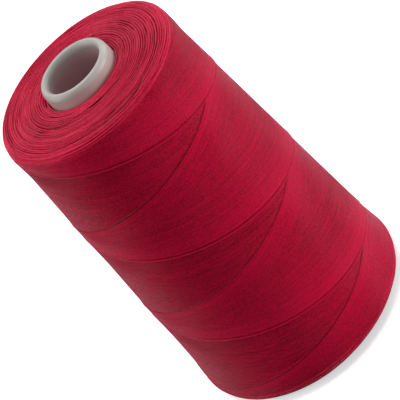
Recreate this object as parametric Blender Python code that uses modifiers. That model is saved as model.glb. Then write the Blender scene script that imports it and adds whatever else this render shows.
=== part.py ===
"""Cone of sewing thread: a cross-wound thread package on a hollow, tapered plastic cone.

Units are metres. The cone's axis is +Z and the origin is the middle of the surface it stands on.
Run it with blender --background --python part.py, or from the text editor.
"""

import math

import bpy

# The plastic cone that the thread is wound on.
CORE_HEIGHT = 0.1063
CORE_NOSE_RADIUS = 0.01015  # where the outside, carried on straight, would reach the top
CORE_WALL = 0.0023
CORE_HALF_ANGLE = math.radians(3.5)
NOSE_ROUND_HEIGHT = 0.0020  # height of the full round on top of the wall
CORE_FOOT_BEVEL = 0.0004
CORE_STEPS = 64
NOSE_STEPS = 12

# The wound thread.
FOOT_GAP = 0.0020  # the thread ends this far above the surface that the cone stands on
CORE_CLEARANCE = 0.0003
FACE_HEIGHT = 0.1018  # the top face, at the shoulder
FACE_RISE = 0.0008  # how much higher the face is at the core
FACE_CROWN = 0.0003  # how far it swells between the two
FACE_DIP = 0.0005  # how far its inner edge dips towards the core
FACE_ROWS = 6
SHOULDER_RADIUS = 0.02395  # from the axis to the middle of the rounded shoulder
SHOULDER_ROUND = 0.0025
SHOULDER_ROWS = 6
BASE_RADIUS = 0.0301  # from the axis to the middle of the rounded base edge
BASE_ROUND = 0.0022
BASE_ROWS = 5
WALL_ROWS = 26

# Where the thread guide turns back the package is a little fuller than a straight taper.
BASE_BELLY = 0.0004
BASE_BELLY_HEIGHT = 0.0135
SHOULDER_BEAD = 0.0003
SHOULDER_BEAD_DEPTH = 0.0090
WOUND_STEPS = 80

# The lay: each traverse of the thread guide climbs or falls this far in one turn.
LAY_LEAD = 0.0337
LAY_SWELL = 0.00014  # how far each of the two crossing lays swells and draws in the wall
LAY_CLIMB_START = 0.0150  # height of the climbing edge at the front
LAY_FALL_START = 0.0232  # height of the falling edge at the front
LAY_FADE = 0.010  # the swelling dies away this close to either end of the wall


def clear_scene():
    for obj in list(bpy.data.objects):
        bpy.data.objects.remove(obj, do_unlink=True)


def new_material(name, colour, roughness):
    material = bpy.data.materials.new(name)
    material.use_nodes = True
    shader = material.node_tree.nodes["Principled BSDF"]
    shader.inputs["Base Color"].default_value = (*colour, 1.0)
    shader.inputs["Roughness"].default_value = roughness
    shader.inputs["Metallic"].default_value = 0.0
    return material


def arc(centre, across, up, start, end, steps):
    """Points (r, z) along part of an ellipse, both ends included, angles in radians from +r."""
    points = []
    for i in range(steps + 1):
        angle = start + (end - start) * i / steps
        points.append(
            (centre[0] + across * math.cos(angle), centre[1] + up * math.sin(angle))
        )
    return points


def straight(start, end, rows):
    """Points strictly between two ends, which splits the line into that many rows."""
    return [
        (
            start[0] + (end[0] - start[0]) * i / rows,
            start[1] + (end[1] - start[1]) * i / rows,
        )
        for i in range(1, rows)
    ]


def core_outside(z):
    """Outer radius of the plastic cone at height z, below its rounded nose."""
    return CORE_NOSE_RADIUS + (CORE_HEIGHT - z) * math.tan(CORE_HALF_ANGLE)


def core_profile():
    """The cut wall of the hollow cone: over the nose, down the outside, up the inside."""
    nose_middle = CORE_HEIGHT - NOSE_ROUND_HEIGHT
    nose = arc(
        (core_outside(nose_middle) - CORE_WALL / 2, nose_middle),
        CORE_WALL / 2,
        NOSE_ROUND_HEIGHT,
        math.pi,
        0.0,
        NOSE_STEPS,
    )
    foot_out = core_outside(0.0)
    foot_in = foot_out - CORE_WALL
    lean = CORE_FOOT_BEVEL * math.tan(CORE_HALF_ANGLE)
    foot = [
        (foot_out - lean, CORE_FOOT_BEVEL),
        (foot_out - CORE_FOOT_BEVEL, 0.0),
        (foot_in + CORE_FOOT_BEVEL, 0.0),
        (foot_in - lean, CORE_FOOT_BEVEL),
    ]
    return nose + straight(nose[-1], foot[0], 3) + foot + straight(foot[-1], nose[0], 3)


def wall_angle():
    """Taper of the wound wall, whose line touches the round shoulder and the round base."""
    across = BASE_RADIUS - SHOULDER_RADIUS
    down = (FACE_HEIGHT - SHOULDER_ROUND) - (FOOT_GAP + BASE_ROUND)
    spread = math.acos((SHOULDER_ROUND - BASE_ROUND) / math.hypot(across, down))
    return spread - math.atan2(down, across)


def smooth(t):
    """Eases from 0 to 1 as t goes from 0 to 1."""
    t = max(0.0, min(1.0, t))
    return t * t * (3 - 2 * t)


def fullness(z):
    """How far the wall stands outside its straight taper near the base and the shoulder."""
    belly = BASE_BELLY * smooth(2 * (BASE_BELLY_HEIGHT - z) / BASE_BELLY_HEIGHT)
    bead = SHOULDER_BEAD * smooth(2 * (z - FACE_HEIGHT + SHOULDER_BEAD_DEPTH) / SHOULDER_BEAD_DEPTH)
    return belly + bead


def wound_face():
    """The gently swelling top face, from the plastic cone out to the shoulder."""
    inner = core_outside(FACE_HEIGHT) + CORE_CLEARANCE
    points = [(inner, FACE_HEIGHT + FACE_RISE - FACE_DIP)]
    for i in range(1, 2 * FACE_ROWS, 2):
        across = i / (2 * FACE_ROWS)
        height = FACE_HEIGHT + FACE_RISE * (1 - across) + FACE_CROWN * math.sin(math.pi * across)
        points.append((inner + (SHOULDER_RADIUS - inner) * across, height))
    return points


def wound_profile():
    """The cut through the wound thread: out over the face, down the wall, in and up the bore."""
    taper = wall_angle()
    shoulder = arc(
        (SHOULDER_RADIUS, FACE_HEIGHT - SHOULDER_ROUND),
        SHOULDER_ROUND,
        SHOULDER_ROUND,
        math.pi / 2,
        taper,
        SHOULDER_ROWS,
    )
    base = arc(
        (BASE_RADIUS, FOOT_GAP + BASE_ROUND),
        BASE_ROUND,
        BASE_ROUND,
        taper,
        -math.pi / 2,
        BASE_ROWS,
    )
    wall = straight(shoulder[-1], base[0], WALL_ROWS)
    outside = [(r + fullness(z), z) for r, z in shoulder + wall + base]
    bore_foot = (core_outside(FOOT_GAP) + CORE_CLEARANCE, FOOT_GAP)
    return wound_face() + outside + [bore_foot]


def turned(name, profile, steps, collection, material):
    """Turns a closed profile of (r, z) points about the Z axis into a solid ring."""
    mesh = bpy.data.meshes.new(name)
    count = len(profile)
    edges = [(i, (i + 1) % count) for i in range(count)]
    mesh.from_pydata([(r, 0.0, z) for r, z in profile], edges, [])
    obj = bpy.data.objects.new(name, mesh)
    collection.objects.link(obj)
    obj.data.materials.append(material)
    screw = obj.modifiers.new("Turn", "SCREW")
    screw.steps = steps
    screw.render_steps = steps
    screw.use_merge_vertices = True
    screw.merge_threshold = 0.00001
    screw.use_smooth_shade = True
    return obj


def applied(obj):
    """Swaps the object's mesh for the one that its modifiers make."""
    graph = bpy.context.evaluated_depsgraph_get()
    made = bpy.data.meshes.new_from_object(obj.evaluated_get(graph))
    obj.modifiers.clear()
    obj.data = made
    return obj


def lay_swell(turn, z):
    """How far the crossing lays move the wall outwards, at an angle from the front."""
    low = FOOT_GAP + BASE_ROUND
    high = FACE_HEIGHT - SHOULDER_ROUND
    fade = max(0.0, min(1.0, (z - low) / LAY_FADE, (high - z) / LAY_FADE))
    climb = turn - math.tau * (z - LAY_CLIMB_START) / LAY_LEAD
    fall = turn + math.tau * (z - LAY_FALL_START) / LAY_LEAD
    return LAY_SWELL * fade * (math.sin(climb) + math.sin(fall))


def add_lay(obj):
    """Swells the outer wall along the lays, and leaves the bore and both ends as turned."""
    for vertex in obj.data.vertices:
        x, y, z = vertex.co
        radius = math.hypot(x, y)
        if radius < core_outside(z) + 2 * CORE_WALL:
            continue
        swell = lay_swell(math.atan2(x, -y), z)
        vertex.co.x = x * (1 + swell / radius)
        vertex.co.y = y * (1 + swell / radius)


def build():
    clear_scene()
    collection = bpy.data.collections.new("ThreadCone")
    bpy.context.scene.collection.children.link(collection)
    thread = new_material("crimson_thread", (0.48, 0.008, 0.045), 0.72)
    plastic = new_material("off_white_plastic", (0.56, 0.54, 0.49), 0.45)

    turned("core", core_profile(), CORE_STEPS, collection, plastic)
    winding = turned("winding", wound_profile(), WOUND_STEPS, collection, thread)
    bpy.context.view_layer.update()
    add_lay(applied(winding))

    for obj in collection.objects:
        obj.data.shade_smooth()
        obj.data.set_sharp_from_angle(angle=math.radians(40))


build()
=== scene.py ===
# %% [markdown]
# # A cone of sewing thread
# A thread cone is a hollow plastic cone with thousands of metres of thread wound on it.
# A guide runs up and down while the cone turns, so the thread lies in two crossing helices.
# Each traverse lands a hair beside the last one, which builds long, shallow steps.
# The whole look of the package comes from that winding rule, so the threads are modelled one by
# one and laid by the same rule, with only the plastic cone and a smooth body underneath turned.
#
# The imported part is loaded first. Its boxes give every place used below, in metres.

import math

import bpy
from mathutils import Matrix, Vector


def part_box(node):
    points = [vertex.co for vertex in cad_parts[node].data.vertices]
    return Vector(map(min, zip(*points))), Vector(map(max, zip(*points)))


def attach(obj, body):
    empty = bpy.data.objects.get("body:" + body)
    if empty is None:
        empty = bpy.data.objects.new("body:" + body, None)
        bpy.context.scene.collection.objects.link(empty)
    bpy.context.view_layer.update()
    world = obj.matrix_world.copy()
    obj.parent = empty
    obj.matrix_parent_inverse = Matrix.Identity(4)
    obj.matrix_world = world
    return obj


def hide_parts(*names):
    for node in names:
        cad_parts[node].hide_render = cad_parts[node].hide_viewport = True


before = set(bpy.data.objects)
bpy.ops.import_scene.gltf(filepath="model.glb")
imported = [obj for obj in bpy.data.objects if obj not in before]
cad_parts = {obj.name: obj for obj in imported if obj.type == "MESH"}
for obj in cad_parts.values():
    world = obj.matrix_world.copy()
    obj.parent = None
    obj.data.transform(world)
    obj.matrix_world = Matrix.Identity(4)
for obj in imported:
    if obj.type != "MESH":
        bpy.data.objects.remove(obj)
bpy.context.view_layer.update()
winding_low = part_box("winding")[0]
core_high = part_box("core")[1]

# %% [markdown]
# ## Camera
# The view looks down on the package from a little above its shoulder, and the camera is rolled
# so that the cone leans over in the frame. A long lens from nearly half a metre away keeps the
# taper honest. A Track To constraint could aim it, but it can't hold the roll as well, so the
# three camera axes are worked out here and put straight into the object's matrix.

# %% Camera
VIEW_ELEVATION = math.radians(34.45)
VIEW_ROLL = math.radians(43.8)
VIEW_DISTANCE = 0.4875
FOCAL_LENGTH = 164.9
SENSOR_WIDTH = 36.0
CLIP_START = 0.01
AIM_HEIGHT_SHARE = 0.474  # of the cone's height
AIM_ASIDE = 0.0002


def rolled_camera(aim, distance, elevation, roll):
    """A camera that looks at aim from the front, above the horizon, and rolled clockwise."""
    right = Vector((1, 0, 0))
    up = Vector((0, math.sin(elevation), math.cos(elevation)))
    back = Vector((0, -math.cos(elevation), math.sin(elevation)))
    across = right * math.cos(roll) - up * math.sin(roll)
    upward = right * math.sin(roll) + up * math.cos(roll)
    camera = bpy.data.objects.new("camera", bpy.data.cameras.new("camera"))
    camera.data.lens = FOCAL_LENGTH
    camera.data.sensor_width = SENSOR_WIDTH
    camera.data.clip_start = CLIP_START
    turned_axes = Matrix((across, upward, back)).transposed().to_4x4()
    camera.matrix_world = Matrix.Translation(aim + back * distance) @ turned_axes
    bpy.context.scene.collection.objects.link(camera)
    return camera


aim = Vector((AIM_ASIDE, 0, core_high.z * AIM_HEIGHT_SHARE))
bpy.context.scene.camera = rolled_camera(aim, VIEW_DISTANCE, VIEW_ELEVATION, VIEW_ROLL)
print("camera at", [round(v, 3) for v in bpy.context.scene.camera.matrix_world.translation])

# %% [markdown]
# ## Floor
# The package stands on a plain pale table. A real table would also light the thread from below,
# but that bounce washes out the fine steps on the wall. So this floor is there for the camera
# and for the shadow: it glows a little of its own, which keeps the shadow light, and other
# surfaces neither take light from it nor mirror it.

# %% Floor
FLOOR_HALF = 3.0
FLOOR_COLOUR = (0.93, 0.93, 0.93)
FLOOR_ROUGHNESS = 0.9
FLOOR_GLOW = 0.50


def principled(material):
    return material.node_tree.nodes["Principled BSDF"]


def plain_material(name, colour, roughness):
    material = bpy.data.materials.new(name)
    material.use_nodes = True
    shader = principled(material)
    shader.inputs["Base Color"].default_value = (*colour, 1.0)
    shader.inputs["Roughness"].default_value = roughness
    return material


corners = [(-1, -1), (1, -1), (1, 1), (-1, 1)]
floor_points = [(x * FLOOR_HALF, y * FLOOR_HALF, 0) for x, y in corners]
floor_mesh = bpy.data.meshes.new("floor")
floor_mesh.from_pydata(floor_points, [], [(0, 1, 2, 3)])
floor = bpy.data.objects.new("floor", floor_mesh)
pale_floor = plain_material("pale_floor", FLOOR_COLOUR, FLOOR_ROUGHNESS)
principled(pale_floor).inputs["Emission Color"].default_value = (*FLOOR_COLOUR, 1.0)
principled(pale_floor).inputs["Emission Strength"].default_value = FLOOR_GLOW
floor_mesh.materials.append(pale_floor)
bpy.context.scene.collection.objects.link(floor)
floor.visible_glossy = False
floor.visible_diffuse = False
print("floor", 2 * FLOOR_HALF, "m square")

# %% [markdown]
# ## World
# An even world would light all sides alike and flatten the crossing lines. This one is dim and
# fades to nothing just below the horizon, so that its light falls from above. The camera alone
# sees it as a bright backdrop, which a Light Path node sorts out.

# %% World
WORLD_STRENGTH = 0.28
BACKDROP_STRENGTH = 0.95  # what the camera sees behind the floor
DARK_BELOW, FULL_ABOVE = -0.05, 0.25  # where 0 is the horizon and 1 is straight up

world = bpy.data.worlds.new("studio")
bpy.context.scene.world = world
world.use_nodes = True
sky = world.node_tree
toward = sky.nodes.new("ShaderNodeSeparateXYZ")
sky.links.new(sky.nodes.new("ShaderNodeTexCoord").outputs["Generated"], toward.inputs[0])
above = sky.nodes.new("ShaderNodeMapRange")
above.inputs["From Min"].default_value = DARK_BELOW
above.inputs["From Max"].default_value = FULL_ABOVE
above.inputs["To Max"].default_value = WORLD_STRENGTH
sky.links.new(toward.outputs["Z"], above.inputs["Value"])
seen = sky.nodes.new("ShaderNodeMix")
seen.inputs["B"].default_value = BACKDROP_STRENGTH
sky.links.new(sky.nodes.new("ShaderNodeLightPath").outputs["Is Camera Ray"], seen.inputs["Factor"])
sky.links.new(above.outputs["Result"], seen.inputs["A"])
sky.links.new(seen.outputs["Result"], sky.nodes["Background"].inputs["Strength"])
sky.nodes["Background"].inputs["Color"].default_value = (1.0, 1.0, 1.0, 1.0)
bpy.context.scene.view_settings.view_transform = "Standard"
print("world:", len(sky.nodes), "nodes")

# %% [markdown]
# ## Lights
# Thread looks like thread because its fuzz catches light at the edges of the form. A large soft
# light overhead and one behind make the end face bright. Soft lights at both sides rim the wall
# and leave its middle deep in colour, and a low one on the right lifts the foot. A wide one in
# front is just strong enough to keep that middle from going black.

# %% Lights


def soft_light(name, place, size, power):
    """A rectangular area light, in watts, that faces the package."""
    light = bpy.data.lights.new(name, "AREA")
    light.shape = "RECTANGLE"
    light.size, light.size_y = size
    light.energy = power
    lamp = bpy.data.objects.new(name, light)
    lamp.location = place
    lamp.rotation_euler = (aim - Vector(place)).to_track_quat("-Z", "Y").to_euler()
    bpy.context.scene.collection.objects.link(lamp)


soft_light("overhead", (0.0, 0.15, 1.1), (0.9, 0.9), 9.0)
soft_light("back", (0.0, 0.9, 0.7), (1.2, 0.6), 3.0)
soft_light("left_side", (-0.8, 0.15, 0.25), (0.4, 0.9), 4.2)
soft_light("right_side", (0.7, 0.35, 0.18), (0.4, 0.6), 2.5)
soft_light("right_low", (0.6, -0.25, 0.05), (0.3, 0.2), 3.6)
soft_light("front_fill", (0.2, -1.1, 0.12), (1.0, 0.6), 3.5)

# %% [markdown]
# ## Writing sums as nodes
# Both Geometry Nodes and shaders do arithmetic with Math nodes. Placing dozens of them by hand
# hides the sum that they make. The little class below lets a line of ordinary arithmetic place
# them, so that each winding rule can be read as a formula.

# %% Helpers that place nodes


class Field:
    """A number that varies over a geometry or a surface. Arithmetic on it adds Math nodes."""

    def __init__(self, socket):
        self.socket = socket

    def __add__(self, other):
        return calc("ADD", self, other)

    def __radd__(self, other):
        return calc("ADD", other, self)

    def __sub__(self, other):
        return calc("SUBTRACT", self, other)

    def __rsub__(self, other):
        return calc("SUBTRACT", other, self)

    def __mul__(self, other):
        return calc("MULTIPLY", self, other)

    def __rmul__(self, other):
        return calc("MULTIPLY", other, self)

    def __truediv__(self, other):
        return calc("DIVIDE", self, other)

    def __rtruediv__(self, other):
        return calc("DIVIDE", other, self)

    def __neg__(self):
        return calc("MULTIPLY", self, -1.0)


def feed(socket, value):
    """Links a field or a socket to an input, or sets the input to a plain value."""
    if isinstance(value, Field):
        value = value.socket
    if isinstance(value, bpy.types.NodeSocket):
        socket.id_data.links.new(value, socket)
    else:
        socket.default_value = value


def calc(operation, *terms):
    """The result of one Math node, as a field."""
    tree = next(t.socket.id_data for t in terms if isinstance(t, Field))
    node = tree.nodes.new("ShaderNodeMath")
    node.operation = operation
    for socket, term in zip(node.inputs, terms):
        feed(socket, term)
    return Field(node.outputs[0])


def add(tree, kind, feeds=None, **options):
    """Adds a node, sets its options, then feeds its inputs, which are found by identifier or name."""
    node = tree.nodes.new(kind)
    for option, value in options.items():
        setattr(node, option, value)
    for key, value in (feeds or {}).items():
        by_identifier = [s for s in node.inputs if s.identifier == key]
        by_name = [s for s in node.inputs if s.name == key]
        feed((by_identifier or by_name)[0], value)
    return node


def out(node, name=None):
    """An output of a node as a field: the named one, or the first that is in use."""
    return Field(node.outputs[name] if name else next(s for s in node.outputs if s.enabled))


def noise(tree, place, scale, detail):
    """Smooth noise between 0 and 1."""
    feeds = {"Vector": place, "Scale": scale, "Detail": detail}
    return out(add(tree, "ShaderNodeTexNoise", feeds), "Fac")


def limited(value):
    """A field kept between 0 and 1."""
    return calc("MINIMUM", calc("MAXIMUM", value, 0.0), 1.0)


def new_tree(kind, name, inputs, outputs):
    """A node group with named sockets. Returns it, its input fields by name, and its output node."""
    tree = bpy.data.node_groups.new(name, kind)
    for label, socket_kind, value in inputs:
        kind_name = "NodeSocket" + socket_kind
        socket = tree.interface.new_socket(label, in_out="INPUT", socket_type=kind_name)
        if value is not None:
            socket.default_value = value
    for label, socket_kind in outputs:
        kind_name = "NodeSocket" + socket_kind
        tree.interface.new_socket(label, in_out="OUTPUT", socket_type=kind_name)
    given = tree.nodes.new("NodeGroupInput")
    fields = {label: Field(given.outputs[label]) for label, _, _ in inputs}
    return tree, fields, tree.nodes.new("NodeGroupOutput")


print("node helpers ready")

# %% [markdown]
# ## The look of spun thread
# Sewing thread is two or three yarns twisted together, so each thread carries slanting ridges,
# with painted shade in the grooves between them, and a halo of fine fibre. A texture map could be
# wrapped round it, but it would repeat and blur. Here a shader group draws the twist from numbers
# that each thread carries: how far along it and how far across it a spot is, and which thread it is.
# A second group gives the change of tone that dyed thread has over a package: slow clouds,
# streaks that follow the turns, and a fine speckle.

# %% Shader group for the twist of the plies
TWIST_SHIFT = 0.37  # of a twist, from one thread to the next, so that they don't line up
PLY_HEIGHT, FIBRE_HEIGHT = 0.35, 0.5
PLY_SHADE, FIBRE_SHADE = 0.2, 0.6

twist_tree, given, result = new_tree(
    "ShaderNodeTree",
    "ply twist",
    [("Ply Spacing", "Float", 0.0006), ("Slant", "Float", 0.7), ("Fibre Size", "Float", 0.00008)],
    [("Height", "Float"), ("Shade", "Float")],
)
along = out(add(twist_tree, "ShaderNodeAttribute", attribute_name="along"), "Fac")
across = out(add(twist_tree, "ShaderNodeAttribute", attribute_name="across"), "Fac")
thread_number = out(add(twist_tree, "ShaderNodeAttribute", attribute_name="thread"), "Fac")
twists = along / given["Ply Spacing"] + across * given["Slant"] + thread_number * TWIST_SHIFT
ply = calc("SINE", twists * math.tau)
spot = add(twist_tree, "ShaderNodeTexCoord").outputs["Object"]
fibre = noise(twist_tree, spot, 1.0 / given["Fibre Size"], 2.0)
feed(result.inputs["Height"], ply * PLY_HEIGHT + 0.5 + (fibre - 0.5) * FIBRE_HEIGHT)
feed(result.inputs["Shade"], 0.5 + ply * PLY_SHADE + (fibre - 0.5) * FIBRE_SHADE)
print("ply twist:", len(twist_tree.nodes), "nodes")

# %% Shader group for the cloudy tone of dyed thread
CLOUD_SHARE = 0.6
STREAK_STRETCH = (0.12, 0.12, 1.0)  # streaks are long round the package and short up it

dye_tree, given, result = new_tree(
    "ShaderNodeTree",
    "dye tone",
    [
        ("Cloud Size", "Float", 0.02),
        ("Streak Size", "Float", 0.0012),
        ("Streak Share", "Float", 0.4),
        ("Speckle Size", "Float", 0.0004),
        ("Speckle Share", "Float", 2.0),
    ],
    [("Tone", "Float")],
)
spot = add(dye_tree, "ShaderNodeTexCoord").outputs["Object"]
clouds = noise(dye_tree, spot, 1.0 / given["Cloud Size"], 3.0)
stretched = add(dye_tree, "ShaderNodeMapping", {"Vector": spot, "Scale": STREAK_STRETCH})
streaks = noise(dye_tree, stretched.outputs[0], 1.0 / given["Streak Size"], 2.0)
speckle = noise(dye_tree, spot, 1.0 / given["Speckle Size"], 3.0)
slow = (clouds - 0.5) * CLOUD_SHARE + (streaks - 0.5) * given["Streak Share"]
feed(result.inputs["Tone"], 0.5 + slow + (speckle - 0.5) * given["Speckle Share"])
print("dye tone:", len(dye_tree.nodes), "nodes")

# %% [markdown]
# ## Thread material
# The base colour runs between a deep and a bright crimson, by the twist, by the dye tone and by a
# number that each thread carries: its random tone, with the painted shade, painted highlight and
# painted light of the lay. Sheen stands for the halo of fibre, which lights up at the edges of the
# form. It is the same all over, so it is set on the shader's own socket. The strands on the ends
# lie looser and catch more light, and that light is painted into them as a brighter crimson. The
# imported thread underneath is only seen down the grooves, so its shade is painted in as a darker
# crimson, and it is duller.

# %% Thread material
DEEP_CRIMSON = (0.19, 0.0001, 0.008)
BRIGHT_CRIMSON = (0.58, 0.002, 0.045)
# Painted light: the end strands' crimson is brighter than the wall's, for the extra light that the ends
# catch.
END_DEEP_PAINTED_LIGHT, END_BRIGHT_PAINTED_LIGHT = (0.26, 0.0005, 0.014), (0.66, 0.009, 0.058)
# Painted shade: the thread underneath is a darker crimson because it is only seen down the grooves.
PACKED_DEEP_PAINTED_SHADE, PACKED_BRIGHT_PAINTED_SHADE = (0.19, 0.0003, 0.010), (0.28, 0.001, 0.017)
THREAD_SHEEN = 0.80
SHEEN_ROUGHNESS = 0.25
SHEEN_TINT = (1.0, 0.62, 0.74)
THREAD_ROUGHNESS, PACKED_ROUGHNESS = 0.42, 0.8
THREAD_SPECULAR, PACKED_SPECULAR = 0.10, 0.02
TWIST_DEPTH, PACKED_TWIST_DEPTH = 0.00003, 0.00002
PLY_SHADE_AND_FIBRE_TONE = 0.5
TWIST_ROUGHNESS = 0.2
TWIST_BUMP = 0.6


def mixed(tree, factor, low, high):
    """A colour between two others."""
    node = add(tree, "ShaderNodeMix", data_type="RGBA")
    feed(node.inputs["Factor"], factor)
    feed(next(s for s in node.inputs if s.identifier == "A_Color"), low)
    feed(next(s for s in node.inputs if s.identifier == "B_Color"), high)
    return out(node)


def thread_material(name, deep, bright, twist_depth, roughness, specular):
    material = plain_material(name, bright, roughness)
    tree, shader = material.node_tree, principled(material)
    twist = add(tree, "ShaderNodeGroup", node_tree=twist_tree)
    dye = add(tree, "ShaderNodeGroup", node_tree=dye_tree)
    # The stored tone of each thread mixes random tone and bunching with painted shade, painted
    # highlight and painted light from the lay, and painted shade in the grooves of the ends.
    own = out(add(tree, "ShaderNodeAttribute", attribute_name="tone_and_painted_light"), "Fac")
    # the twist's Shade puts painted shade into the ply grooves, together with random fibre tone
    tone = out(dye, "Tone") + (out(twist, "Shade") - 0.5) * PLY_SHADE_AND_FIBRE_TONE + (own - 0.5)
    feed(shader.inputs["Base Color"], mixed(tree, tone, (*deep, 1.0), (*bright, 1.0)))
    feed(shader.inputs["Roughness"], roughness + (out(twist, "Shade") - 0.5) * TWIST_ROUGHNESS)
    feeds = {"Strength": TWIST_BUMP, "Distance": twist_depth, "Height": out(twist, "Height")}
    feed(shader.inputs["Normal"], add(tree, "ShaderNodeBump", feeds).outputs["Normal"])
    shader.inputs["Sheen Weight"].default_value = THREAD_SHEEN
    shader.inputs["Sheen Roughness"].default_value = SHEEN_ROUGHNESS
    shader.inputs["Sheen Tint"].default_value = (*SHEEN_TINT, 1.0)
    shader.inputs["Specular IOR Level"].default_value = specular
    return material


wall_thread = thread_material(
    "crimson_wall_thread", DEEP_CRIMSON, BRIGHT_CRIMSON, TWIST_DEPTH, THREAD_ROUGHNESS, THREAD_SPECULAR
)
end_thread_painted_light = thread_material(
    "crimson_end_painted_light", END_DEEP_PAINTED_LIGHT, END_BRIGHT_PAINTED_LIGHT, TWIST_DEPTH, THREAD_ROUGHNESS, THREAD_SPECULAR
)
packed_thread_painted_shade = thread_material(
    "crimson_underlayer_painted_shade",
    PACKED_DEEP_PAINTED_SHADE,
    PACKED_BRIGHT_PAINTED_SHADE,
    PACKED_TWIST_DEPTH,
    PACKED_ROUGHNESS,
    PACKED_SPECULAR,
)
print("thread materials:", wall_thread.name, end_thread_painted_light.name, packed_thread_painted_shade.name)

# %% [markdown]
# ## The cut line of the package
# Everything wound lies on one line turned about the axis: round the base edge, up the tapered
# wall, round the shoulder and in over the end face to the plastic cone. Threads are placed by
# their distance along that line, so the line is worked out once, with its landmarks. The wall is
# a little fuller than a straight taper near both of its ends, where the thread guide turns back.

# %% The cut line of the package
HALF_ANGLE = math.radians(3.5)  # of the plastic cone
NOSE_RADIUS = 0.01015  # where the plastic cone's outside, carried on straight, would reach its top
CORE_CLEARANCE = 0.0003
FACE_HEIGHT = 0.1018  # the top face, at the shoulder
FACE_RISE = 0.0008  # how much higher the face is at the plastic cone
FACE_CROWN = 0.0003  # how far it swells between the two
FACE_DIP = 0.0005  # how far it dips again over its innermost sixth
SHOULDER_RADIUS = 0.02395  # from the axis to the middle of the rounded shoulder
SHOULDER_ROUND = 0.0025
BASE_RADIUS = 0.0301  # from the axis to the middle of the rounded base edge
BASE_ROUND = 0.0022
BASE_BELLY = 0.0004
BASE_BELLY_HEIGHT = 0.0135
SHOULDER_BEAD = 0.0003
SHOULDER_BEAD_DEPTH = 0.0090
FOOT_HEIGHT = winding_low.z
ARC_STEPS = 16
WALL_STEPS = 60
FACE_STEPS = 24


def core_outside(z):
    """Outer radius of the plastic cone at a height."""
    return NOSE_RADIUS + (core_high.z - z) * math.tan(HALF_ANGLE)


def smooth(t):
    """Eases from 0 to 1 as t goes from 0 to 1."""
    t = max(0.0, min(1.0, t))
    return t * t * (3 - 2 * t)


def arc(centre, across, up, start, end, steps):
    """Points (r, z) along part of an ellipse, both ends included."""
    turns = [start + (end - start) * i / steps for i in range(steps + 1)]
    return [(centre[0] + across * math.cos(a), centre[1] + up * math.sin(a)) for a in turns]


def between(start, end, steps):
    """Points strictly between two ends."""
    shares = [i / steps for i in range(1, steps)]
    return [(start[0] + (end[0] - start[0]) * t, start[1] + (end[1] - start[1]) * t) for t in shares]


def fuller(points):
    """Moves wall points out where the thread guide turns back and the package is fuller."""
    moved = []
    for r, z in points:
        belly = BASE_BELLY * smooth(2 * (BASE_BELLY_HEIGHT - z) / BASE_BELLY_HEIGHT)
        above_bead = z - FACE_HEIGHT + SHOULDER_BEAD_DEPTH
        bead = SHOULDER_BEAD * smooth(2 * above_bead / SHOULDER_BEAD_DEPTH)
        moved.append((r + belly + bead, z))
    return moved


def face_point(share, inner):
    """A point of the top face, some share of the way in from the shoulder."""
    height = FACE_HEIGHT + FACE_RISE * share + FACE_CROWN * math.sin(math.pi * share)
    dip = FACE_DIP * smooth(6 * share - 5)
    return (SHOULDER_RADIUS + (inner - SHOULDER_RADIUS) * share, height - dip)


base_centre = (BASE_RADIUS, FOOT_HEIGHT + BASE_ROUND)
shoulder_centre = (SHOULDER_RADIUS, FACE_HEIGHT - SHOULDER_ROUND)
lean_across, lean_up = BASE_RADIUS - SHOULDER_RADIUS, shoulder_centre[1] - base_centre[1]
spread = math.acos((SHOULDER_ROUND - BASE_ROUND) / math.hypot(lean_across, lean_up))
taper = spread - math.atan2(lean_up, lean_across)
foot_inner = core_outside(FOOT_HEIGHT) + CORE_CLEARANCE
face_inner = core_outside(FACE_HEIGHT) + CORE_CLEARANCE
base_edge = arc(base_centre, BASE_ROUND, BASE_ROUND, -math.pi / 2, taper, ARC_STEPS)
shoulder = arc(shoulder_centre, SHOULDER_ROUND, SHOULDER_ROUND, taper, math.pi / 2, ARC_STEPS)
wall = between(base_edge[-1], shoulder[0], WALL_STEPS)
foot = [(foot_inner, FOOT_HEIGHT), *between((foot_inner, FOOT_HEIGHT), base_edge[0], FACE_STEPS)]
face = [face_point(i / FACE_STEPS, face_inner) for i in range(1, FACE_STEPS + 1)]
cut_line = foot + fuller(base_edge + wall + shoulder) + face
reach = [0.0]
for one, other in zip(cut_line, cut_line[1:]):
    reach.append(reach[-1] + math.dist(one, other))
base_start = reach[len(foot)]
wall_start = reach[len(foot) + ARC_STEPS]
shoulder_start = reach[len(foot) + ARC_STEPS + WALL_STEPS]
face_start = reach[len(foot) + 2 * ARC_STEPS + WALL_STEPS]
face_end = reach[-1]
print("cut line", round(face_end * 1000, 1), "mm, taper", round(math.degrees(taper), 2), "degrees")

# %% [markdown]
# ## Spinning a thread along a path
# Every thread, on the wall or on an end, is a path with a half-round section swept along it.
# A full tube would waste half its faces inside the package. The sweep is a node group of its
# own: it turns the section so that its round side faces out of the package, keeps the numbers
# that the material reads, and lays the strip out flat in a texture map, one row for each thread.
# The newest thread's rims can reach down to the layer that it stands on, so no gap shows under it.

# %% Geometry group that spins a thread along each path
RIM_BAND = 0.45  # further than this from the middle of a section is its rim
ROW_MARGIN = 0.05  # of a row of the texture map

spin_tree, given, result = new_tree(
    "GeometryNodeTree",
    "spin thread",
    [
        ("Paths", "Geometry", None),
        ("Threads", "Int", 100),
        ("Width", "Float", 0.0003),
        ("Section Points", "Int", 5),
        ("Edge Depth", "Float", 0.0),
    ],
    [("Mesh", "Geometry")],
)


def stored(tree, geometry, name, value, kind="FLOAT", domain="POINT"):
    """Keeps a field on a geometry under a name."""
    feeds = {"Geometry": geometry, "Name": name, "Value": value}
    return add(tree, "GeometryNodeStoreNamedAttribute", feeds, data_type=kind, domain=domain).outputs[0]


def named(tree, name, kind="FLOAT"):
    """A field that was kept on the geometry under a name."""
    reader = add(tree, "GeometryNodeInputNamedAttribute", {"Name": name}, data_type=kind)
    return out(reader, "Attribute")


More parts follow.
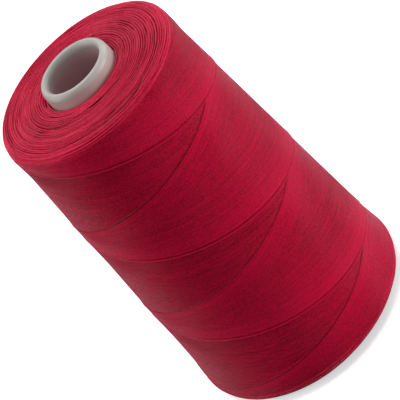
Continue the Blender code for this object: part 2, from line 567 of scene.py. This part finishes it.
thread_index = out(add(spin_tree, "GeometryNodeCurveOfPoint"), "Curve Index")
length = add(spin_tree, "GeometryNodeSplineParameter")
paths = stored(spin_tree, given["Paths"], "thread", thread_index)
paths = stored(spin_tree, paths, "along", length.outputs["Length"])
paths = stored(spin_tree, paths, "share", length.outputs["Factor"])
facing = add(
    spin_tree,
    "GeometryNodeSetCurveNormal",
    {"Curve": paths, "Normal": named(spin_tree, "outward", "FLOAT_VECTOR")},
    mode="FREE",
)
section = add(
    spin_tree,
    "GeometryNodeCurveArc",
    {
        "Resolution": given["Section Points"],
        "Radius": given["Width"] * 0.5,
        "Start Angle": -math.pi / 2,
        "Sweep Angle": math.pi,
    },
)
section_share = add(spin_tree, "GeometryNodeSplineParameter")
marked = stored(spin_tree, section.outputs["Curve"], "across", section_share.outputs["Factor"])
feeds = {"Curve": facing.outputs[0], "Profile Curve": marked}
swept = add(spin_tree, "GeometryNodeCurveToMesh", feeds).outputs["Mesh"]
across = named(spin_tree, "across")
rim = calc("GREATER_THAN", calc("ABSOLUTE", across - 0.5), RIM_BAND)
newest = calc("LESS_THAN", named(spin_tree, "thread"), 0.5)
drop = add(
    spin_tree,
    "ShaderNodeVectorMath",
    {"Vector": named(spin_tree, "outward", "FLOAT_VECTOR"), "Scale": -given["Edge Depth"]},
    operation="SCALE",
)
deepened = add(
    spin_tree,
    "GeometryNodeSetPosition",
    {"Geometry": swept, "Selection": rim * newest, "Offset": drop.outputs[0]},
)
row = named(spin_tree, "thread") + ROW_MARGIN + across * (1.0 - 2.0 * ROW_MARGIN)
row = row / given["Threads"]
place = add(spin_tree, "ShaderNodeCombineXYZ", {"X": named(spin_tree, "share"), "Y": row})
mapped = stored(spin_tree, deepened.outputs[0], "OFBake", place.outputs[0], "FLOAT2", "CORNER")
smoothed = add(spin_tree, "GeometryNodeSetShadeSmooth", {"Geometry": mapped})
feed(result.inputs["Mesh"], smoothed.outputs[0])
print("spin thread:", len(spin_tree.nodes), "nodes")

# %% [markdown]
# ## The rule of the winding
# The thread guide climbs from the base to the shoulder and falls back, about three turns each
# way, while the package turns steadily. The next double traverse starts a small part of a turn
# further back, so its threads lie beside the last ones, and after one full cycle the newest
# threads meet the oldest and stand a step above them. Those steps are the long crossing lines on
# the wall. The last traverse of all was a falling one, so the falling threads lie on top.
# Copies of one helix, each turned a little, would be too alike: each thread needs its own height
# and its own small strays. So blank lines are placed first and every point is moved by the rule.
# The helpers come first, because the ends of the package use them too.

# %% Helpers that place, jitter and spin the threads


def blank_lines(tree, count, steps):
    """As many straight lines as there are threads, each with a point for every step."""
    blank = add(tree, "GeometryNodeCurvePrimitiveLine").outputs[0]
    feeds = {"Curve": blank, "Count": steps + 1}
    blank = add(tree, "GeometryNodeResampleCurve", feeds, mode="COUNT")
    points = add(tree, "GeometryNodePoints", {"Count": count})
    feeds = {"Points": points.outputs[0], "Instance": blank.outputs[0]}
    copies = add(tree, "GeometryNodeInstanceOnPoints", feeds)
    return add(tree, "GeometryNodeRealizeInstances", {"Geometry": copies.outputs[0]}).outputs[0]


def chance(tree, number, seed, low=-0.5, high=0.5):
    """A random number for each thread, the same on every run."""
    feeds = {"Min_001": low, "Max_001": high, "ID": number, "Seed": seed}
    return out(add(tree, "FunctionNodeRandomValue", feeds, data_type="FLOAT"))


def wander(tree, *place, detail=1.0):
    """A smooth random field with a mean of nought, over one to three numbers."""
    spot = add(tree, "ShaderNodeCombineXYZ", dict(zip("XYZ", place))).outputs[0]
    return noise(tree, spot, 1.0, detail) - 0.5


def wound_place(tree, line, along_line, angle, height):
    """Where a point lies: a reach along the cut line, turned about the axis and raised off it."""
    feeds = {"Curves": line, "Length": along_line}
    sample = add(tree, "GeometryNodeSampleCurve", feeds, mode="LENGTH")
    spot = add(tree, "ShaderNodeSeparateXYZ", {"Vector": sample.outputs["Position"]})
    slope = add(tree, "ShaderNodeSeparateXYZ", {"Vector": sample.outputs["Tangent"]})
    out_r, out_z = out(slope, "Z"), -out(slope, "X")
    radius = out(spot, "X") + out_r * height
    lifted = out(spot, "Z") + out_z * height
    sine, cosine = calc("SINE", angle), calc("COSINE", angle)
    feeds = {"X": radius * sine, "Y": -(radius * cosine), "Z": lifted}
    place = add(tree, "ShaderNodeCombineXYZ", feeds)
    feeds = {"X": out_r * sine, "Y": -(out_r * cosine), "Z": out_z}
    facing = add(tree, "ShaderNodeCombineXYZ", feeds)
    return place.outputs[0], facing.outputs[0]


def spun(tree, given, place, facing, tone, edge_depth):
    """The threads' mesh with its material, from the fields that place, face and tone a point."""
    paths = blank_lines(tree, given["Threads"], given["Steps"])
    paths = stored(tree, paths, "outward", facing, "FLOAT_VECTOR")
    paths = stored(tree, paths, "tone_and_painted_light", tone)
    feeds = {"Geometry": paths, "Position": place}
    paths = add(tree, "GeometryNodeSetPosition", feeds).outputs[0]
    mesh = add(tree, "GeometryNodeGroup", node_tree=spin_tree)
    feed(mesh.inputs["Paths"], paths)
    feed(mesh.inputs["Edge Depth"], edge_depth)
    for label in ("Threads", "Width", "Section Points"):
        feed(mesh.inputs[label], given[label])
    whole = add(tree, "GeometryNodeRealizeInstances", {"Geometry": mesh.outputs[0]})
    feeds = {"Geometry": whole.outputs[0], "Material": given["Material"]}
    return add(tree, "GeometryNodeSetMaterial", feeds).outputs[0]


print("thread helpers ready")

# %% Geometry tree that lays the traverses
lay_tree, given, result = new_tree(
    "GeometryNodeTree",
    "lay traverses",
    [
        ("Cut Line", "Geometry", None),
        ("Threads", "Int", 110),
        ("Steps", "Int", 192),
        ("Turn", "Float", 18.85),
        ("Start Angle", "Float", 0.0),
        ("Start Reach", "Float", 0.0),
        ("End Reach", "Float", 0.1),
        ("Turn Back", "Float", 0.22),
        ("Sway", "Float", 0.0),
        ("Sway Angle", "Float", 0.0),
        ("Depth", "Float", 0.0003),
        ("Rise", "Float", 0.0005),
        ("Rise Skew", "Float", 0.0),
        ("Fade", "Float", 0.008),
        ("Width", "Float", 0.0003),
        ("Section Points", "Int", 4),
        ("Stray", "Float", 0.00005),
        ("Bunching", "Float", 0.0003),
        ("Swell", "Float", 0.00008),
        ("Edge Lift", "Float", 0.00006),
        ("Edge Gap", "Float", 0.02),
        # the next four inputs paint light and shade into the colour: a highlight on the newest thread,
        # shade beside a step, light on the newest quarter
        ("Edge Painted Highlight", "Float", 0.5),
        ("Shaded Thread", "Float", 1.5),
        ("Shade", "Float", 0.6),
        ("Fresh Painted Light", "Float", 0.15),
        ("End Stray", "Float", 0.001),
        ("Seed", "Int", 1),
        ("Material", "Material", None),
    ],
    [("Mesh", "Geometry")],
)
print("lay traverses:", len(given), "inputs")

# %% The winding rule, written as nodes
STRAY_PART = 30.0  # only the first and the last thirtieth of a run strays at its end
SWAY_PART = 8.0  # a run sways fully after its first eighth and before its last
BUNCH_ALONG, BUNCH_ACROSS = 0.5, 0.3  # waves for each radian, and for each thread
SWELL_ALONG, SWELL_ACROSS = 0.7, 0.35
LEAST_LAYER = 0.2  # how much of the step is left at either end of the wall
SHADED_REACH = 0.6  # so a Shaded Thread of 1.5 darkens the threads numbered 1 and 2
FRESH_PART = 4.0  # the newest quarter of the threads takes painted light, where the raised step tilts to the lights
SWELL_SEED = 40  # keeps the swelling apart from the bunching
THREAD_VARIETY = 0.25
BUNCH_TONE = 0.4

point = add(lay_tree, "GeometryNodeCurveOfPoint")
number, step = out(point, "Curve Index"), out(point, "Index in Curve")
age = number / given["Threads"]
turned_by = given["Turn"] * step / given["Steps"]
left = given["Turn"] - turned_by
corner = given["Turn Back"] * given["Turn Back"]


def rounded(turn):
    """Grows like the turn itself, but starts level, as the guide turns back."""
    return calc("SQRT", turn * turn + corner)


rule = rounded(turned_by) - rounded(left) - turned_by
whole_run = rounded(given["Turn"])
rule_span = whole_run * 2.0 - given["Turn Back"] * 2.0 - given["Turn"]
run = (rule - given["Turn Back"] + whole_run) / rule_span
near_start = calc("MAXIMUM", 1.0 - run * STRAY_PART, 0.0)
near_end = calc("MAXIMUM", run * STRAY_PART - (STRAY_PART - 1.0), 0.0)
start_stray = near_start * chance(lay_tree, number, given["Seed"])
end_stray = near_end * chance(lay_tree, number, given["Seed"] + 1)
ends_far = calc("MINIMUM", run, 1.0 - run)
sway = given["Sway"] * calc("SINE", turned_by + given["Sway Angle"])
sway = sway * calc("MINIMUM", ends_far * SWAY_PART, 1.0)
newest = calc("LESS_THAN", number, 0.5)
bunch = wander(lay_tree, turned_by * BUNCH_ALONG, number * BUNCH_ACROSS, given["Seed"])
swell_place = (turned_by * SWELL_ALONG, number * SWELL_ACROSS, given["Seed"] + SWELL_SEED)
swell = wander(lay_tree, *swell_place, detail=2.0)
stray = given["Stray"] * chance(lay_tree, number, given["Seed"] + 2) + given["Bunching"] * bunch
straight_run = given["Start Reach"] + (given["End Reach"] - given["Start Reach"]) * run
reached = straight_run + sway + stray + given["End Stray"] * (start_stray + end_stray)
whole_reach = calc("ABSOLUTE", given["End Reach"] - given["Start Reach"])
fade = calc("MINIMUM", ends_far * whole_reach / given["Fade"], 1.0)
turned_to = given["Start Angle"] + turned_by + age * math.tau - newest * given["Edge Gap"]
rise = given["Rise"] * (1.0 + given["Rise Skew"] * calc("SINE", turned_to))
layer = (0.5 - age) * (fade * (1.0 - LEAST_LAYER) + LEAST_LAYER)
height = layer * rise - given["Depth"] + given["Swell"] * swell + given["Edge Lift"] * newest
cut = add(lay_tree, "GeometryNodeMeshToCurve", {"Mesh": given["Cut Line"]}).outputs[0]
place, facing = wound_place(lay_tree, cut, reached, turned_to, height)
# Painted shade darkens the marked threads beside each step, the newest thread takes a painted highlight
# and the newest quarter painted light; the rest of the tone is random and follows the bunching.
shaded = calc("COMPARE", number, given["Shaded Thread"], SHADED_REACH) * given["Shade"]
fresh_painted_light = calc("MAXIMUM", 1.0 - age * FRESH_PART, 0.0) * given["Fresh Painted Light"]
tone = 0.5 + chance(lay_tree, number, given["Seed"] + 3) * THREAD_VARIETY
tone = tone + (bunch + swell) * BUNCH_TONE + newest * given["Edge Painted Highlight"] - shaded + fresh_painted_light
feed(result.inputs["Mesh"], spun(lay_tree, given, place, facing, tone, given["Rise"]))
print("lay traverses:", len(lay_tree.nodes), "nodes")

# %% [markdown]
# ## Laying the wall
# The tree works on a mesh that holds just the cut line. Its modifier is filled in through each
# input's identifier, the result is baked to a plain mesh, and the source object with its modifier
# is removed. The climbing and the falling threads are two pieces, which keeps each below two
# hundred thousand triangles.

# %% Sizes of the lay, and where its runs start
WALL_THREADS = 180
STEPS_A_TURN = 56
THREAD_WIDTH = 0.00025
CLIMB_LEAD = 0.03375  # the guide climbs this far in a turn
FALL_LEAD = 0.0332
TURN_BACK = 0.22  # radians of the rounded corner where the guide turns back
CLIMB_MARK = 0.0470  # the newest climbing thread passes the front at this height
FALL_MARK = 0.0574  # and the newest falling one here, but for its sway
FALL_SWAY = 0.0020  # how far the falling threads wander up and down in each turn
FALL_SWAY_ANGLE = 0.5  # radians from the front at which a wave of that sway starts
CLIMB_RISE = 0.00045  # how far the newest thread stands above the oldest, on average
CLIMB_SKEW = -0.5  # the steps are taller on the left, because no cone is wound quite evenly
FALL_RISE = 0.0003
LAY_DEPTH = 0.0003  # the threads lie this far inside the cut line
FALL_LIFT = 0.00010  # the falling threads stand this far above the climbing ones
LOW_TURN_LIFT = 0.0010  # the guide turns back this far above the middle of the rounded base edge
SEARCH_STEPS = 50


def baked_piece(name, tree, points, settings):
    """Runs a tree on a line of (r, z) points and returns the plain mesh object that it makes."""
    mesh = bpy.data.meshes.new(name + "_line")
    edges = [(i, i + 1) for i in range(len(points) - 1)]
    mesh.from_pydata([(r, 0.0, z) for r, z in points], edges, [])
    source = bpy.data.objects.new(name + "_source", mesh)
    bpy.context.scene.collection.objects.link(source)
    modifier = source.modifiers.new("Nodes", "NODES")
    modifier.node_group = tree
    sockets = {s.name: s.identifier for s in tree.interface.items_tree if s.in_out == "INPUT"}
    for label, value in settings.items():
        modifier[sockets[label]] = value
    graph = bpy.context.evaluated_depsgraph_get()
    made = bpy.data.meshes.new_from_object(source.evaluated_get(graph), depsgraph=graph)
    bpy.data.objects.remove(source)
    made.name = name
    piece = bpy.data.objects.new(name, made)
    bpy.context.scene.collection.objects.link(piece)
    made.calc_loop_triangles()
    print(name, len(made.loop_triangles), "triangles")
    return piece


def reach_of(height):
    """The reach along the cut line at which the wall has this height."""
    low = next(i for i in range(len(foot) + 1, len(cut_line)) if cut_line[i + 1][1] >= height)
    share = (height - cut_line[low][1]) / (cut_line[low + 1][1] - cut_line[low][1])
    return reach[low] + (reach[low + 1] - reach[low]) * share


def run_share(turn, whole):
    """The tree's rule for one thread: how much of its run is done after a turn."""
    rounded_turn = math.hypot(turn, TURN_BACK)
    rounded_left = math.hypot(whole - turn, TURN_BACK)
    rounded_whole = math.hypot(whole, TURN_BACK)
    rule = rounded_turn - rounded_left - turn - TURN_BACK + rounded_whole
    return rule / (2 * rounded_whole - 2 * TURN_BACK - whole)


def start_angle(mark, start, end, whole):
    """Where a run starts, so that its newest thread passes the front at the marked height."""
    low, high = 0.0, whole
    for _ in range(SEARCH_STEPS):
        middle = (low + high) / 2
        at = start + (end - start) * run_share(middle, whole)
        if (at < reach_of(mark)) == (end > start):
            low = middle
        else:
            high = middle
    return -low


low_turn = (base_start + wall_start) / 2 + LOW_TURN_LIFT
high_turn = (shoulder_start + face_start) / 2
climb_whole = (high_turn - low_turn) * math.tau / CLIMB_LEAD + 2 * TURN_BACK
fall_whole = (high_turn - low_turn) * math.tau / FALL_LEAD + 2 * TURN_BACK
print("turns up", round(climb_whole / math.tau, 3), "turns down", round(fall_whole / math.tau, 3))

# %% Lay the climbing and the falling threads
lay_settings = {
    "Threads": WALL_THREADS,
    "Steps": round(climb_whole / math.tau * STEPS_A_TURN),
    "Turn Back": TURN_BACK,
    "Depth": LAY_DEPTH,
    "Fade": 0.008,
    "Width": THREAD_WIDTH,
    "Section Points": 4,
    "Stray": 0.00005,
    "Bunching": 0.0003,
    "Swell": 0.00009,
    "Edge Lift": 0.00005,
    "Edge Gap": 0.02,
    # painted highlight, painted shade and painted light on the wall threads' colour
    "Edge Painted Highlight": 0.0,
    "Shaded Thread": 0.5,
    "Shade": 0.7,
    "Fresh Painted Light": 0.4,
    "End Stray": 0.0012,
    "Material": wall_thread,
}
climb_settings = {
    "Turn": climb_whole,
    "Start Angle": start_angle(CLIMB_MARK, low_turn, high_turn, climb_whole),
    "Start Reach": low_turn,
    "End Reach": high_turn,
    "Sway": 0.0,
    "Rise": CLIMB_RISE,
    "Rise Skew": CLIMB_SKEW,
    "Seed": 1,
}
fall_start = start_angle(FALL_MARK, high_turn, low_turn, fall_whole)
fall_settings = {
    "Turn": fall_whole,
    "Start Angle": fall_start,
    "Start Reach": high_turn,
    "End Reach": low_turn,
    "Sway": -FALL_SWAY,
    "Sway Angle": fall_start + FALL_SWAY_ANGLE,
    "Rise": FALL_RISE,
    "Rise Skew": 0.0,
    "Depth": LAY_DEPTH - FALL_LIFT,
    "Edge Gap": 0.03,
    # a painted highlight on the newest falling thread, and painted shade on the two threads beside it
    "Edge Painted Highlight": 0.7,
    "Edge Lift": 0.00009,
    "Shaded Thread": 1.5,
    "Seed": 2,
}
climbing = baked_piece("thread_climbing", lay_tree, cut_line, lay_settings | climb_settings)
falling = baked_piece("thread_falling", lay_tree, cut_line, lay_settings | fall_settings)

# %% [markdown]
# ## The ends of the package
# At each end the thread turns back, so an end is made of short arcs, one per traverse of every
# layer that was ever wound. Both ends of an arc dive under its neighbours. The arcs bunch into
# uneven ridges with dark grooves between them, so each one is drawn towards the nearest ridge,
# and the ridges themselves wander. A bump map would leave the end looking turned on a lathe, so
# the arcs are real, placed by a tree that shares the sweep with the wall.

# %% Geometry tree that turns strands back over an end
end_tree, given, result = new_tree(
    "GeometryNodeTree",
    "turn strands back",
    [
        ("Cut Line", "Geometry", None),
        ("Threads", "Int", 300),
        ("Steps", "Int", 24),
        ("Start Reach", "Float", 0.0),
        ("End Reach", "Float", 0.1),
        ("Shortest", "Float", 1.0),
        ("Longest", "Float", 2.4),
        ("Dive", "Float", 0.0004),
        ("Ridge Spacing", "Float", 0.0007),
        ("Ridge Height", "Float", 0.0002),
        ("Ridge Share", "Float", 0.35),
        ("Ripple", "Float", 0.0003),
        ("Depth", "Float", 0.0001),
        ("Bow", "Float", 0.0003),
        ("Width", "Float", 0.00032),
        ("Section Points", "Int", 5),
        ("Seed", "Int", 5),
        ("Material", "Material", None),
    ],
    [("Mesh", "Geometry")],
)
print("turn strands back:", len(given), "inputs")

# %% The rule of the turned-back strands, written as nodes
GOLDEN_ANGLE = math.pi * (3 - math.sqrt(5))  # spreads the strands evenly round the end
BOW_ENDS, BOW_LEAN = 8.0, 2.0  # how a strand bends, and how it lies askew
DIVE_POWER = 5.0  # a strand dives only near its two ends
RIDGE_WANDER = 1.8  # in ridges
RIDGE_ROUND, RIDGE_ACROSS = 1.6, 0.12  # how fast that wandering changes
RIPPLE_ROUND, RIPPLE_ACROSS = 3.0, 500.0
STRAND_HEIGHT = 0.00012  # how unevenly the strands stand
STRAND_TONE, STRAND_VARIETY, GROOVE_SHADE = 0.65, 0.4, 0.3

point = add(end_tree, "GeometryNodeCurveOfPoint")
number, step = out(point, "Curve Index"), out(point, "Index in Curve")
middle = step / given["Steps"] - 0.5
seed = given["Seed"]
longer_by = given["Longest"] - given["Shortest"]
span = given["Shortest"] + longer_by * chance(end_tree, number, seed, 0.0, 1.0)
angle = number * GOLDEN_ANGLE + chance(end_tree, number, seed + 1) + middle * span
order = (number + chance(end_tree, number, seed + 2, 0.0, 1.0)) / given["Threads"]
bent = middle * middle * BOW_ENDS * chance(end_tree, number, seed + 3)
askew = middle * chance(end_tree, number, seed + 4) * BOW_LEAN
bow = given["Bow"] * (bent + askew)
dived = calc("POWER", calc("ABSOLUTE", middle * 2.0), DIVE_POWER) * given["Dive"]
strand_angle = angle - middle * span
own_reach = given["Start Reach"] + (given["End Reach"] - given["Start Reach"]) * order
ridge = own_reach / given["Ridge Spacing"]
round_x = calc("SINE", strand_angle) * RIDGE_ROUND
round_y = calc("COSINE", strand_angle) * RIDGE_ROUND
shift = wander(end_tree, round_x, round_y, ridge * RIDGE_ACROSS) * RIDGE_WANDER
ridge = ridge + shift
in_ridge = calc("FRACT", ridge) - 0.5
snapped = calc("FLOOR", ridge) + 0.5 + in_ridge * given["Ridge Share"] - shift
ripple_x = calc("SINE", angle) * RIPPLE_ROUND
ripple_y = calc("COSINE", angle) * RIPPLE_ROUND
ripple = wander(end_tree, ripple_x, ripple_y, own_reach * RIPPLE_ACROSS)
reached = snapped * given["Ridge Spacing"] + bow + ripple * given["Ripple"]
edge = calc("ABSOLUTE", in_ridge) * 2.0
height = chance(end_tree, number, seed + 5) * STRAND_HEIGHT
height = height - edge * given["Ridge Height"] - dived - given["Depth"]
cut = add(end_tree, "GeometryNodeMeshToCurve", {"Mesh": given["Cut Line"]}).outputs[0]
place, facing = wound_place(end_tree, cut, reached, angle, height)
tone = STRAND_TONE + chance(end_tree, number, seed + 6) * STRAND_VARIETY - edge * GROOVE_SHADE
feed(result.inputs["Mesh"], spun(end_tree, given, place, facing, tone, 0.0))
print("turn strands back:", len(end_tree.nodes), "nodes")

# %% Cover both ends with turned-back strands
TOP_OVERLAP = 0.0012  # the top strands start this far round the shoulder
FOOT_OVERLAP = 0.0005  # the foot strands reach this far up the wall

top_settings = {
    "Threads": 380,
    "Steps": 24,
    "Start Reach": shoulder_start + TOP_OVERLAP,
    "End Reach": face_end,
    "Shortest": 0.9,
    "Longest": 2.2,
    "Dive": 0.0005,
    "Ridge Spacing": 0.00066,
    "Ridge Height": 0.0002,
    "Ridge Share": 0.38,
    "Ripple": 0.00028,
    "Depth": 0.00003,
    "Bow": 0.00012,
    "Width": 0.00030,
    "Section Points": 5,
    "Seed": 5,
    "Material": end_thread_painted_light,
}
foot_settings = top_settings | {
    "Threads": 420,
    "Start Reach": 0.0,
    "End Reach": wall_start + FOOT_OVERLAP,
    "Seed": 15,
}
top_end = baked_piece("thread_top_end", end_tree, cut_line, top_settings)
foot_end = baked_piece("thread_foot_end", end_tree, cut_line, foot_settings)

# %% [markdown]
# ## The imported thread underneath
# Between the outer threads one looks down on older layers. They are never seen as threads, so a
# single body, turned from the cut line a little inside it, closes the package. It lies deeper
# along the wall, where the steps of the lay go down, than at the ends. A Screw modifier turns
# it, and its doubles are merged so that it is one closed ring.

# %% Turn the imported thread
BODY_DEPTH = 0.0008
END_BODY_DEPTH = 0.0004
BODY_SHALLOW = 0.0025  # the wall is shallow too, this close to either rounded edge
BODY_STEPS = 128
MERGE_DISTANCE = 0.000001


def turned(name, points, steps, material):
    """A closed ring: a closed line of (r, z) points turned about the axis."""
    mesh = bpy.data.meshes.new(name)
    edges = [(i, (i + 1) % len(points)) for i in range(len(points))]
    mesh.from_pydata([(r, 0.0, z) for r, z in points], edges, [])
    source = bpy.data.objects.new(name + "_source", mesh)
    bpy.context.scene.collection.objects.link(source)
    screw = source.modifiers.new("Turn", "SCREW")
    screw.steps = screw.render_steps = steps
    screw.use_merge_vertices = True
    screw.merge_threshold = MERGE_DISTANCE
    screw.use_smooth_shade = True
    graph = bpy.context.evaluated_depsgraph_get()
    made = bpy.data.meshes.new_from_object(source.evaluated_get(graph), depsgraph=graph)
    bpy.data.objects.remove(source)
    made.name = name
    piece = bpy.data.objects.new(name, made)
    bpy.context.scene.collection.objects.link(piece)
    made.materials.clear()
    made.materials.append(material)
    outward = sum(f.normal.dot((f.center.x, f.center.y, 0)) * f.area for f in made.polygons)
    if outward < 0:
        made.flip_normals()
    print(name, len(made.polygons), "faces")
    return piece


def inset(points, depths):
    """Moves each point of a line inwards by its own depth, square to the line."""
    moved = []
    for i, ((r, z), depth) in enumerate(zip(points, depths)):
        before, after = points[max(i - 1, 0)], points[min(i + 1, len(points) - 1)]
        along_r, along_z = after[0] - before[0], after[1] - before[1]
        size = math.hypot(along_r, along_z)
        moved.append((r - along_z / size * depth, z + along_r / size * depth))
    return moved


deep_start, deep_end = wall_start + BODY_SHALLOW, shoulder_start - BODY_SHALLOW
on_wall = [deep_start < at < deep_end for at in reach[::2]]
body_depths = [BODY_DEPTH if inside_wall else END_BODY_DEPTH for inside_wall in on_wall]
inner_line = inset(cut_line[::2], body_depths)
packed_line = [(max(r, core_outside(z) + CORE_CLEARANCE), z) for r, z in inner_line]
# the body carries the darker material, painted shade for the grooves
body = turned("packed_thread_painted_shade", packed_line, BODY_STEPS, packed_thread_painted_shade)

# %% [markdown]
# ## The plastic cone
# A moulded cone carries the thread. Its nose is a full round that stands above the thread, its
# wall is a bit over two millimetres, and its foot is a flat ring that the package stands on.
# The cut wall is turned in one piece, finely enough that the rim's highlight is a clean curve.
# The plastic lets some light through, so red light from the thread shows deep in the bore and close
# above the thread. Real light through a thin wall is slow to work out, so that light is painted
# into the material's base colour by height and by side; it is not a colour of the plastic.

# %% Cut wall of the plastic cone
CORE_WALL = 0.0023
NOSE_ROUND_HEIGHT = 0.0020
FOOT_BEVEL = 0.0004
NOSE_STEPS = 24
CORE_WALL_STEPS = 12
CONE_STEPS = 128

nose_middle = core_high.z - NOSE_ROUND_HEIGHT
nose_centre = (core_outside(nose_middle) - CORE_WALL / 2, nose_middle)
nose = arc(nose_centre, CORE_WALL / 2, NOSE_ROUND_HEIGHT, math.pi, 0.0, NOSE_STEPS)
foot_out, foot_in = core_outside(0.0), core_outside(0.0) - CORE_WALL
lean = FOOT_BEVEL * math.tan(HALF_ANGLE)
core_foot = [
    (foot_out - lean, FOOT_BEVEL),
    (foot_out - FOOT_BEVEL, 0.0),
    (foot_in + FOOT_BEVEL, 0.0),
    (foot_in - lean, FOOT_BEVEL),
]
outer_wall = between(nose[-1], core_foot[0], CORE_WALL_STEPS)
inner_wall = between(core_foot[-1], nose[0], CORE_WALL_STEPS)
core_line = nose + outer_wall + core_foot + inner_wall
print("cone wall:", len(core_line), "points")

# %% Plastic material and the turned cone
OFF_WHITE = (0.36, 0.345, 0.32)
BORE_PAINTED_LIGHT = (0.52, 0.31, 0.32)
THREAD_PAINTED_LIGHT = (0.62, 0.28, 0.30)
THREAD_LIGHT_HEIGHT = 0.0030  # above the thread
THREAD_LIGHT_STRENGTH = 0.5
BORE_FADE = 0.006  # the painted light in the bore is full this far below the rim
RIM_DEPTH = 0.001  # and starts this far below it
SIDE_BLEND = 0.3  # of the wall's thickness, between the bore's painted light and the outside's colour
PLASTIC_ROUGHNESS = 0.42
MOTTLE_SIZE, SCUFF_SIZE = 0.0025, 0.0004
MOTTLE_DARK, MOTTLE_PALE = 0.93, 1.06
ROUGHNESS_SPREAD = 0.15
MOTTLE_HEIGHT, SCUFF_HEIGHT = 0.7, 0.3
MOULDED_BUMP, MOULDED_DEPTH = 0.35, 0.0002

plastic = plain_material("off_white_plastic", OFF_WHITE, PLASTIC_ROUGHNESS)
tree, shader = plastic.node_tree, principled(plastic)
spot = add(tree, "ShaderNodeTexCoord").outputs["Object"]
part = add(tree, "ShaderNodeSeparateXYZ", {"Vector": spot})
around = calc("SQRT", out(part, "X") * out(part, "X") + out(part, "Y") * out(part, "Y"))
middle_radius = core_outside(0.0) - CORE_WALL / 2 - out(part, "Z") * math.tan(HALF_ANGLE)
inside = limited((middle_radius - around) / (CORE_WALL * SIDE_BLEND))
below = limited((core_high.z - RIM_DEPTH - out(part, "Z")) / BORE_FADE)
mottle = noise(tree, spot, 1.0 / MOTTLE_SIZE, 4.0)
scuff = noise(tree, spot, 1.0 / SCUFF_SIZE, 3.0)
dark = (*[c * MOTTLE_DARK for c in OFF_WHITE], 1.0)
pale = (*[c * MOTTLE_PALE for c in OFF_WHITE], 1.0)
# Painted light: the thread's red is mixed into the plastic's colour just above the thread and down the
# bore.
thread_light_mask = limited(1.0 - (out(part, "Z") - FACE_HEIGHT) / THREAD_LIGHT_HEIGHT)
shell = mixed(tree, thread_light_mask * THREAD_LIGHT_STRENGTH, mixed(tree, mottle, dark, pale), (*THREAD_PAINTED_LIGHT, 1.0))
feed(shader.inputs["Base Color"], mixed(tree, inside * below, shell, (*BORE_PAINTED_LIGHT, 1.0)))
rough = PLASTIC_ROUGHNESS + (mottle - 0.5) * ROUGHNESS_SPREAD + (scuff - 0.5) * ROUGHNESS_SPREAD
feed(shader.inputs["Roughness"], rough)
moulded = mottle * MOTTLE_HEIGHT + scuff * SCUFF_HEIGHT
feeds = {"Strength": MOULDED_BUMP, "Distance": MOULDED_DEPTH, "Height": moulded}
feed(shader.inputs["Normal"], add(tree, "ShaderNodeBump", feeds).outputs["Normal"])
cone = turned("plastic_cone", core_line, CONE_STEPS, plastic)

# %% [markdown]
# ## Attaching the pieces
# Each piece rides on the one body, and the imported solid that it takes the place of is hidden.

# %% Attach the pieces and hide the imported solids
for piece in (climbing, falling, top_end, foot_end, body):
    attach(piece, "root")
    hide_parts("winding")
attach(cone, "root")
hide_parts("core")
